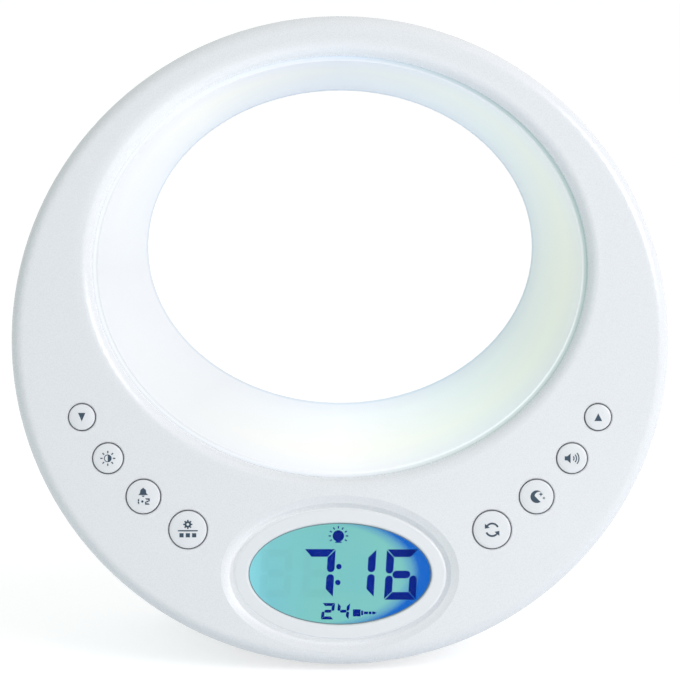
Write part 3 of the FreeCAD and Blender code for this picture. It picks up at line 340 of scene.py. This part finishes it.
def lcd_glow(name, strength):
    """The lit display: pale teal, brighter at the left end, and deep blue in a crescent at the right."""
    material, graph, shader = new_material(name)
    centre = on_face(0, -LENS_DROP)
    half = RIGHT * WINDOW_HALF_WIDTH
    reach = oval_reach(graph, centre - RIGHT * TEAL_SHIFT, TEAL_HALF_WIDTH, TEAL_HALF_HEIGHT)
    blue = ramped(graph, reach, TEAL_TO_BLUE)
    teal = ramped(graph, along(graph, RIGHT, centre - half, centre + half), TEAL_ACROSS)
    lit = mixed(graph, CLOUD_SHARE, teal, mixed(graph, noise(graph, 45, 1.0), *CLOUD_TONES))
    graph.links.new(mixed(graph, blue, lit, DEEP_BLUE), shader.inputs["Emission Color"])
    shader.inputs["Base Color"].default_value = (0.003, 0.005, 0.005, 1)
    shader.inputs["Emission Strength"].default_value = strength
    shader.inputs["Roughness"].default_value = 0.3
    shader.inputs["Specular IOR Level"].default_value = 0.05
    return material


# Vertices this near are one, and edges that turn by less than this many degrees are shaded across. The dish
# round the display meets the face at a smaller turn, and its edge stays crisp
SAME_PLACE = 1e-6
SMOOTH_LIMIT = 40
COVER_SMOOTH_LIMIT = 15


def smooth_normals(node, limit):
    """Shade across the tangent edges of a moulded piece, where its faces are meshed apart."""
    mesh = nodes[node].data
    count = len(mesh.polygons)
    normals = np.empty(count * 3)
    areas = np.empty(count)
    mesh.polygons.foreach_get("normal", normals)
    mesh.polygons.foreach_get("area", areas)
    normals = normals.reshape(-1, 3)
    corner_vertex = np.empty(len(mesh.loops), int)
    mesh.loops.foreach_get("vertex_index", corner_vertex)
    corner_face = np.repeat(np.arange(count), [p.loop_total for p in mesh.polygons])
    places = np.empty(len(mesh.vertices) * 3)
    mesh.vertices.foreach_get("co", places)
    keys = np.round(places.reshape(-1, 3) / SAME_PLACE).astype(np.int64)
    _, spot = np.unique(keys, axis=0, return_inverse=True)
    spot = spot.ravel()[corner_vertex]
    order = np.argsort(spot, kind="stable")
    starts = np.flatnonzero(np.diff(spot[order], prepend=-1))
    ends = np.append(starts[1:], len(order))
    cosine = math.cos(math.radians(limit))
    shaded = np.empty((len(mesh.loops), 3))
    for start, end in zip(starts, ends):
        corners = order[start:end]
        faces = corner_face[corners]
        around = normals[faces]
        near = (around @ around.T) > cosine
        total = (near * areas[faces]) @ around
        shaded[corners] = total / np.maximum(np.linalg.norm(total, axis=1, keepdims=True), 1e-12)
    mesh.polygons.foreach_set("use_smooth", np.ones(count, bool))
    mesh.normals_split_custom_set(shaded.tolist())


def deepest(node):
    """How far behind the face a node reaches."""
    return max((FACE - v.co).dot(OUT) for v in nodes[node].data.vertices)


def dress(node, material):
    """Gives a node of the frame one finish."""
    mesh = nodes[node].data
    mesh.materials.clear()
    mesh.materials.append(material)


cover_white = surface("cover_white", (0.74, 0.75, 0.775), tone=0.99, roughness=(0.26, 0.29), grain=2500,
                      bump=0.005, height=0.01 * MM, Coat_Weight=0.2, Coat_Roughness=0.12)
bezel_white = surface("bezel_white", (0.75, 0.76, 0.785), tone=0.99, roughness=(0.32, 0.36), grain=2500,
                      bump=0.02, height=0.02 * MM)
button_white = surface("button_white", (0.74, 0.75, 0.775), tone=0.99, roughness=(0.3, 0.34), grain=2500,
                       bump=0.02, height=0.02 * MM)
# The cover and the bezel carry painted light on the mouth's lip and in the groove round the bezel
paint_light_round_edges(cover_white)
paint_light_round_edges(bezel_white)
shell_white = surface("shell_white", (0.77, 0.8, 0.83), tone=0.975, roughness=(0.42, 0.52), grain=2600,
                      bump=0.12, height=0.08 * MM)
reflector_white = surface("reflector_white", (0.85, 0.86, 0.86), roughness=(0.3, 0.4))
board_white = surface("board_white", (0.75, 0.76, 0.74), roughness=(0.4, 0.5), grain=900)
board_green = surface("board_green", (0.02, 0.13, 0.05), tone=0.8, roughness=(0.35, 0.45), grain=900)
black_parts = surface("black_parts", (0.02, 0.02, 0.022), tone=0.7, roughness=(0.4, 0.55), grain=1500,
                      bump=0.1)
grey_frame = surface("grey_frame", (0.5, 0.51, 0.52), roughness=(0.45, 0.55), grain=1500, bump=0.1)
light_guide = surface("light_guide", (0.6, 0.75, 0.85), roughness=(0.2, 0.3), grain=900)
lamp_yellow = surface("lamp_yellow", (0.85, 0.75, 0.35), roughness=(0.2, 0.3), grain=900)
steel = surface("steel", (0.5, 0.5, 0.52), tone=0.8, roughness=(0.25, 0.4), grain=1500, bump=0.08,
                stretch=(1, 1, 8), Metallic=1.0)
contact_steel = surface("contact_steel", (0.62, 0.61, 0.58), tone=0.85, roughness=(0.2, 0.35), grain=1800,
                        bump=0.06, Metallic=1.0)
frame_black = surface("frame_black", (0.02, 0.02, 0.022), roughness=(0.3, 0.4), grain=800, Metallic=0.4)
paper_black = surface("paper_black", (0.025, 0.024, 0.023), tone=0.7, roughness=(0.8, 0.95), grain=1600,
                      bump=0.5, height=0.2 * MM)
ferrite = surface("ferrite", (0.04, 0.04, 0.042), tone=0.8, roughness=(0.6, 0.75), grain=1200, bump=0.25)
socket_black = surface("socket_black", (0.012, 0.012, 0.013), tone=0.8, roughness=(0.3, 0.42), grain=1200,
                       bump=0.1)
cell_blue = surface("cell_blue", (0.04, 0.12, 0.32), tone=0.85, roughness=(0.22, 0.32), grain=900,
                    Metallic=0.5)
foot_rubber = surface("foot_rubber", (0.045, 0.045, 0.05), tone=0.8, roughness=(0.7, 0.85), grain=1800,
                      bump=0.3, height=0.1 * MM)
diffuser_opal_painted_light_and_shade = opal(deepest("light_diffuser"))
window_clear = clear("window_clear", (0.97, 0.99, 0.99), 0.03)
display_glow = lcd_glow("lcd_glow", 0.97)
display_ghost = lcd_glow("lcd_ghost", 0.93)
lead_black = surface("lead_black", (0.02, 0.02, 0.022), tone=0.8, roughness=(0.4, 0.5), grain=1800, bump=0.08)
print_grey = surface("print_grey", (0.025, 0.055, 0.09), tone=0.9, roughness=(0.4, 0.5), grain=2000, bump=0.1)
dark_window_line = surface("dark_window_line", (0.16, 0.24, 0.27), tone=0.9, roughness=(0.4, 0.5), grain=2000, bump=0.05)
print_blue = surface("print_blue", (0.0, 0.015, 0.25), tone=0.9, roughness=(0.5, 0.6), grain=2000, bump=0.05,
                     Specular_IOR_Level=0.05)

finishes = {
    "front_cover": cover_white,
    "display_bezel": bezel_white,
    "rear_cover": shell_white,
    "battery_door": shell_white,
    "speaker_grille": shell_white,
    "light_diffuser": diffuser_opal_painted_light_and_shade,
    "light_reflector": reflector_white,
    "led_board": board_white,
    "leds": lamp_yellow,
    "display_lens": window_clear,
    "lcd_panel": display_glow,
    "lcd_backlight": light_guide,
    "lcd_holder": grey_frame,
    "main_board": board_green,
    "socket_board": board_green,
    "board_parts": black_parts,
    "tact_switches": black_parts,
    "board_screws": steel,
    "housing_screws": steel,
    "speaker_frame": frame_black,
    "speaker_cone": paper_black,
    "speaker_magnet": ferrite,
    "dc_socket": socket_black,
    "aux_socket": socket_black,
    "backup_cells": cell_blue,
    "battery_contacts": contact_steel,
    "rubber_feet": foot_rubber,
}
for node in nodes:
    if node.startswith("button_"):
        finishes[node] = button_white
    if node.startswith("plunger_"):
        finishes[node] = grey_frame
    if "_lead" in node:
        finishes[node] = lead_black
for node, material in finishes.items():
    dress(node, material)
    smooth_normals(node, COVER_SMOOTH_LIMIT if node == "front_cover" else SMOOTH_LIMIT)


# Marks: thin printed shapes, drawn as flat outlines in millimetres

def turn_points(points, degrees, centre=(0, 0)):
    """Points turned about a centre."""
    c, s = math.cos(math.radians(degrees)), math.sin(math.radians(degrees))
    turned = []
    for x, y in points:
        dx, dy = x - centre[0], y - centre[1]
        turned.append((centre[0] + dx * c - dy * s, centre[1] + dx * s + dy * c))
    return turned


def moved(points, dx, dy):
    return [(x + dx, y + dy) for x, y in points]


def arc(radius, start, end, steps=16, centre=(0, 0)):
    """Points along an arc, in degrees."""
    turns = [math.radians(start + (end - start) * i / steps) for i in range(steps + 1)]
    return [(centre[0] + radius * math.cos(t), centre[1] + radius * math.sin(t)) for t in turns]


def band(outer, inner, start, end, centre=(0, 0)):
    """A strip bent along an arc."""
    return arc(outer, start, end, centre=centre) + arc(inner, end, start, centre=centre)


def circle(radius, centre=(0, 0)):
    return arc(radius, 0, 360, 28, centre)[:-1]


def box_points(width, height, centre=(0, 0)):
    w, h = width / 2, height / 2
    return moved([(-w, -h), (w, -h), (w, h), (-w, h)], *centre)


def mark(name, outlines, place, depth_at, material, body, thickness=0.05):
    """One printed piece from flat outlines, laid on the surface whose depth is given at each point."""
    mesh = bpy.data.meshes.new(name)
    work = bmesh.new()
    for outline in outlines:
        bottom = [work.verts.new((x, y, 0)) for x, y in outline]
        face = work.faces.new(bottom)
        face.normal_update()
        if face.normal.z < 0:
            face.normal_flip()
    bmesh.ops.triangulate(work, faces=work.faces[:])
    lifted = bmesh.ops.extrude_face_region(work, geom=work.faces[:])
    top = [item for item in lifted["geom"] if isinstance(item, bmesh.types.BMVert)]
    bmesh.ops.translate(work, verts=top, vec=(0, 0, thickness))
    bmesh.ops.recalc_face_normals(work, faces=work.faces[:])
    for vert in work.verts:
        x, y, rise = vert.co
        vert.co = on_face(place[0] + x * MM, place[1] + y * MM, depth_at(x, y) - rise * MM)
    work.to_mesh(mesh)
    work.free()
    mesh.materials.append(material)
    piece = bpy.data.objects.new(name, mesh)
    bpy.context.scene.collection.objects.link(piece)
    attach(piece, body)


def triangle(width, height, way):
    return [[(-width / 2, -way * height / 2), (width / 2, -way * height / 2), (0, way * height / 2)]]


def sun():
    """A half-filled disc with eight rays."""
    shapes = [band(1.4, 1.12, 90, 270), band(1.4, 1.12, -90, 90), arc(1.12, -90, 90)]
    for index in range(8):
        ray = moved(box_points(0.85, 0.42), 2.3, 0)
        shapes.append(turn_points(ray, 45 * index))
    return shapes


def speaker_icon():
    body = [(-2.7, -0.75), (-1.75, -0.75), (-0.6, -1.8), (-0.6, 1.8), (-1.75, 0.75), (-2.7, 0.75)]
    shapes = [body]
    for radius in (1.1, 2.0, 2.9):
        shapes.append(band(radius + 0.2, radius - 0.2, -42, 42, centre=(-0.45, 0)))
    return shapes


def bell_icon():
    """A bell, to go over two small numbers."""
    dome = arc(1.05, 0, 180, centre=(0, 1.95))
    skirt = [(-1.15, 1.25), (-1.75, 0.6), (1.75, 0.6), (1.15, 1.25)]
    clapper = arc(0.5, 180, 360, centre=(0, 0.42))
    knob = arc(0.28, 0, 180, centre=(0, 2.95))
    return [dome + skirt, clapper, knob]


def moon_icon():
    """A crescent with two small stars."""
    outer = arc(2.3, 50, 310, 28)
    inner = arc(1.84, 288, 72, 24, centre=(0.98, 0))
    stars = []
    for x, y, size in ((1.5, 0.9, 0.8), (2.6, -0.5, 0.55)):
        points = []
        for index in range(8):
            reach = size if index % 2 == 0 else size * 0.4
            turn = math.radians(45 * index)
            points.append((x + reach * math.cos(turn), y + reach * math.sin(turn)))
        stars.append(points)
    return [outer + inner] + stars


def cycle_icon():
    """Two arrows that chase each other round."""
    shapes = []
    for start in (25, 205):
        shapes.append(band(2.6, 1.95, start, start + 115))
        head = turn_points([(0, 1.15), (0, -1.15), (1.4, 0)], start + 205)
        tip = arc(2.28, start + 115, start + 115, 1)[0]
        shapes.append(moved(head, *tip))
    return shapes


def gear_icon():
    """A small gear over a bar and three squares."""
    middle_up = 1.95
    shapes = [band(1.2, 0.5, start, start + 180, centre=(0, middle_up)) for start in (0, 180)]
    for index in range(8):
        tooth = moved(box_points(0.55, 0.52), 1.38, middle_up)
        shapes.append(turn_points(tooth, 45 * index, (0, middle_up)))
    shapes += [box_points(0.91, 0.45, (-3.15 + 0.9 * index, -0.35)) for index in range(8)]
    shapes += [box_points(1.5, 1.5, (x, -2.0)) for x in (-2.3, 0, 2.3)]
    return shapes


SEGMENTS = {"1": "bc", "2": "abged", "4": "fgbc", "6": "afgedc", "7": "abc", "8": "abcdefg"}


def digit(character, height, width, stroke, gap, slant=0, centre=(0, 0)):
    """A seven-segment digit: mitred at its corners, with round ends at its waist."""
    w, h, s, g = width / 2, height / 2, stroke, gap / 2
    half = s / 2
    waist = half + 1.4 * g
    bar = w - s - half * 0.8
    bars = {
        "a": [(-w + g, h), (w - g, h), (w - s, h - s), (-w + s, h - s)],
        "d": [(-w + g, -h), (-w + s, -h + s), (w - s, -h + s), (w - g, -h)],
        "g": arc(half, 90, 270, 8, (-bar, 0)) + arc(half, -90, 90, 8, (bar, 0)),
        "f": [(-w, h - g), (-w + s, h - s - g)] + arc(half, 0, -180, 8, (-w + half, waist)),
        "b": [(w - s, h - s - g), (w, h - g)] + arc(half, 0, -180, 8, (w - half, waist)),
        "e": [(-w + s, -h + s + g), (-w, -h + g)] + arc(half, 180, 0, 8, (-w + half, -waist)),
        "c": [(w, -h + g), (w - s, -h + s + g)] + arc(half, 180, 0, 8, (w - half, -waist)),
    }
    lean = math.tan(math.radians(slant))
    shapes = []
    for key in SEGMENTS[character]:
        shapes.append([(centre[0] + x + y * lean, centre[1] + y) for x, y in bars[key]])
    return shapes


# A cap's gap to its hole and its flange, the fall of its dome with the part of it that lies inside the knee,
# its edge, and how far a mark's underside stands off it
CAP_GAP = 0.35
CAP_FLANGE = 0.9
CAP_DOME = 0.35
CAP_KNEE = 0.55
CAP_KNEE_FALL = 0.3
CAP_EDGE = 0.6
MARK_LIFT = 0.02


def cap_depth(radius):
    """The depth of a domed cap's surface at a distance from its middle, as a function of the place."""
    cap = radius - CAP_GAP
    knee = cap * CAP_KNEE
    rim = cap - CAP_EDGE

    def at(x, y):
        reach = math.hypot(x, y)
        if reach <= knee:
            share = CAP_KNEE_FALL * reach / knee
        else:
            share = CAP_KNEE_FALL + (1 - CAP_KNEE_FALL) * min(1.0, (reach - knee) / (rim - knee))
        return CAP_TOP + (CAP_DOME * share - MARK_LIFT) * MM
    return at


def cap_place(node):
    """Where the middle of a cap is on the face, and its hole's radius in millimetres."""
    low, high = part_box(node)
    foremost = max((v.co for v in nodes[node].data.vertices), key=lambda place: place.dot(OUT))
    offset = foremost - FACE
    radius = (high.x - low.x) / 2 / MM - CAP_FLANGE
    return (offset.x, offset.dot(UP)), radius


def numbers_row():
    """The numbers 1 and 2 with a dot between them, to go under a bell."""
    row = -1.75
    first = digit("1", 2.3, 1.3, 0.5, 0.04, centre=(-2.1, row))
    second = digit("2", 2.3, 1.7, 0.5, 0.04, centre=(1.55, row))
    return first + [circle(0.42, (-0.3, row))] + second


icons = {
    "down": triangle(2.6, 3.1, -1),
    "up": triangle(2.8, 2.8, 1),
    "light": sun(),
    "volume": speaker_icon(),
    "alarm": bell_icon() + numbers_row(),
    "sleep": moon_icon(),
    "set": gear_icon(),
    "mode": cycle_icon(),
}
for key, shapes in icons.items():
    place, radius = cap_place("button_" + key)
    mark("icon_" + key, shapes, place, cap_depth(radius), print_grey, key + "_button")


def flat_at(depth):
    """Just in front of a flat surface, wherever the place."""
    return lambda x, y: depth - 0.01 * MM


def lcd_mark(name, shapes, x, y, material=print_blue, thickness=0.03):
    """Shapes on the front of the display, placed from the middle of its window."""
    place = (x * MM, -LENS_DROP + y * MM)
    mark(name, shapes, place, flat_at(LCD_DEPTH), material, "housing", thickness)


def bulb_icon():
    """A lit bulb on a small foot, with nine short rays."""
    shapes = [circle(2.1), [(-1.3, -2.5), (1.3, -2.5), (1.0, -2.05), (-1.0, -2.05)]]
    for index in range(9):
        ray = moved(box_points(0.9, 0.45), 3.15, 0)
        shapes.append(turn_points(ray, -30 + 30 * index))
    return shapes


def plug_icon():
    """A small plug for a line in, with its tip to the right."""
    sleeve = box_points(2.8, 2.6, (-2.9, 0))
    collar = box_points(0.8, 1.7, (-0.9, 0))
    shaft = [box_points(1.5, 1.0, (0.5, 0)), box_points(1.0, 1.0, (2.0, 0))]
    tip = [(2.75, -0.5), (3.5, -0.5), (4.4, 0), (3.5, 0.5), (2.75, 0.5)]
    return [sleeve, collar] + shaft + [tip]


def oval_band(half_width, half_height, width):
    """A thin oval ring in two halves."""
    halves = []
    for start in (0, 180):
        turns = [math.radians(start + 180 * i / 60) for i in range(61)]
        outer = [(half_width * math.cos(t), half_height * math.sin(t)) for t in turns]
        inner = [((half_width - width) * math.cos(t), (half_height - width) * math.sin(t)) for t in turns]
        halves.append(outer + inner[::-1])
    return halves


def time_digit(character, height=17.6, width=11.5):
    return digit(character, height, width, 2.8, 0.5, 3.5)


def count_digit(character, width, x):
    return digit(character, 6.0, width, 1.1, 0.15, 6, (x, 0))


HOUR_X = -7.85
TIME_Y = -0.1
lcd_mark("lcd_ghost_tens", time_digit("8"), -23.4, TIME_Y, display_ghost, 0.005)
lcd_mark("lcd_ghost_hour", time_digit("8"), HOUR_X, TIME_Y, display_ghost, 0.005)
lcd_mark("lcd_hour", time_digit("7"), HOUR_X, TIME_Y)
lcd_mark("lcd_colon", [circle(1.0, (0.2, 2.9)), circle(1.0, (-0.2, -2.9))], -0.6, -0.6)
lcd_mark("lcd_minute_tens", time_digit("1", width=10.4), 7.6, TIME_Y)
lcd_mark("lcd_minute_ones", time_digit("6", 18.4, 11.6), 22.4, -0.6)
lcd_mark("lcd_bulb", bulb_icon(), -0.6, 13.5)
lcd_mark("lcd_count", count_digit("2", 4.6, -2.8) + count_digit("4", 4.4, 2.8), -1.6, -14.0)
lcd_mark("lcd_plug", plug_icon(), 9.0, -14.6)
# A thin dark line drawn round the window on the lens front
mark("lens_edge", oval_band(33.45, 18.65, 0.5), (0, -LENS_DROP), flat_at(LENS_FRONT), dark_window_line,
     "housing", thickness=0.03)


# Stage, camera and light

# How much of the floor's whiteness the lamps and the shadow change, and how much is always there
FLOOR_SHADE = 0.5
FLOOR_GLOW = 0.66


def plane(name, size, material):
    """A square stretch of floor with its middle at the origin."""
    mesh = bpy.data.meshes.new(name)
    half = size / 2
    corners = [(-half, -half, 0), (half, -half, 0), (half, half, 0), (-half, half, 0)]
    mesh.from_pydata(corners, [], [(0, 1, 2, 3)])
    mesh.materials.append(material)
    piece = bpy.data.objects.new(name, mesh)
    bpy.context.scene.collection.objects.link(piece)


def seen_directly(graph):
    """1 for the camera's rays and for those that a shiny or a clear surface sends on."""
    path = graph.nodes.new("ShaderNodeLightPath")
    total = path.outputs["Is Camera Ray"]
    for name in ("Is Glossy Ray", "Is Transmission Ray"):
        larger = graph.nodes.new("ShaderNodeMath")
        larger.operation = "MAXIMUM"
        graph.links.new(total, larger.inputs[0])
        graph.links.new(path.outputs[name], larger.inputs[1])
        total = larger.outputs[0]
    return total


def white_floor():
    """A pale matte floor, seen as white wherever the clock keeps no light from it."""
    material, graph, shader = new_material("floor_white")
    grains = noise(graph, 60, 3.0)
    graph.links.new(mixed(graph, grains, (0.86, 0.91, 0.96), (0.88, 0.93, 0.98)), shader.inputs["Base Color"])
    shader.inputs["Roughness"].default_value = 0.8
    output = [n for n in graph.nodes if n.type == "OUTPUT_MATERIAL"][0]
    matte = graph.nodes.new("ShaderNodeBsdfDiffuse")
    matte.inputs["Color"].default_value = (*grey(FLOOR_SHADE), 1)
    glow = graph.nodes.new("ShaderNodeEmission")
    glow.inputs["Strength"].default_value = FLOOR_GLOW
    both = graph.nodes.new("ShaderNodeAddShader")
    mix = graph.nodes.new("ShaderNodeMixShader")
    graph.links.new(matte.outputs[0], both.inputs[0])
    graph.links.new(glow.outputs[0], both.inputs[1])
    graph.links.new(seen_directly(graph), mix.inputs[0])
    graph.links.new(shader.outputs[0], mix.inputs[1])
    graph.links.new(both.outputs[0], mix.inputs[2])
    graph.links.new(mix.outputs[0], output.inputs["Surface"])
    return material


plane("floor", 12.0, white_floor())

camera = bpy.data.objects.new("camera", bpy.data.cameras.new("camera"))
bpy.context.scene.collection.objects.link(camera)
camera.data.sensor_width = SENSOR
camera.data.lens = SENSOR * CAMERA_DISTANCE / PICTURE_WIDTH
camera.data.clip_start = 0.05
camera.data.clip_end = 50
camera.data.dof.use_dof = False
camera.location = FACE + OUT * CAMERA_DISTANCE
camera.rotation_mode = "QUATERNION"
camera.rotation_quaternion = FACE_AXES.to_quaternion()
bpy.context.scene.camera = camera


def lamp(name, place, aim, size, power, colour):
    """A round area lamp, aimed at a place."""
    data = bpy.data.lights.new(name, "AREA")
    data.shape = "DISK"
    data.size = size
    data.energy = power
    data.color = colour
    piece = bpy.data.objects.new(name, data)
    bpy.context.scene.collection.objects.link(piece)
    piece.location = place
    piece.rotation_mode = "QUATERNION"
    piece.rotation_quaternion = (Vector(place) - Vector(aim)).to_track_quat("Z", "Y")


lamp("key", (1.2, -0.9, 0.95), FACE, 0.9, 13, (1.0, 0.99, 1.0))
lamp("fill_low", (0.1, -0.55, 0.04), middle("rubber_feet") + OUT * 30 * MM, 0.3, 0.15, grey(1))
lamp("fill_left", (-1.6, -1.4, 0.8), FACE, 1.4, 1.5, (0.92, 1.0, 0.97))

# The surround from its left side to its right
SKY_STRENGTH = 0.79
SKY_ACROSS = ((0.0, (0.5, 0.6, 0.55)), (0.25, (0.68, 0.77, 0.73)), (0.5, (0.88, 0.88, 0.89)), (0.8, grey(1)))


def studio_sky():
    """A surround that is dimmer and a little green on the left, and white to what sees it directly."""
    world = bpy.data.worlds.new("studio")
    bpy.context.scene.world = world
    world.use_nodes = True
    graph = world.node_tree
    graph.nodes.clear()
    output = graph.nodes.new("ShaderNodeOutputWorld")
    lit = graph.nodes.new("ShaderNodeBackground")
    seen = graph.nodes.new("ShaderNodeBackground")
    mix = graph.nodes.new("ShaderNodeMixShader")
    place = graph.nodes.new("ShaderNodeTexCoord")
    parts = graph.nodes.new("ShaderNodeSeparateXYZ")
    side = graph.nodes.new("ShaderNodeMapRange")
    side.inputs["From Min"].default_value = -1
    side.inputs["From Max"].default_value = 1
    graph.links.new(place.outputs["Generated"], parts.inputs[0])
    graph.links.new(parts.outputs["X"], side.inputs["Value"])
    graph.links.new(ramped(graph, side.outputs["Result"], SKY_ACROSS), lit.inputs["Color"])
    lit.inputs["Strength"].default_value = SKY_STRENGTH
    seen.inputs["Color"].default_value = (1, 1, 1, 1)
    seen.inputs["Strength"].default_value = 1.0
    graph.links.new(seen_directly(graph), mix.inputs[0])
    graph.links.new(lit.outputs[0], mix.inputs[1])
    graph.links.new(seen.outputs[0], mix.inputs[2])
    graph.links.new(mix.outputs[0], output.inputs["Surface"])


studio_sky()
bpy.context.scene.view_settings.view_transform = "Standard"
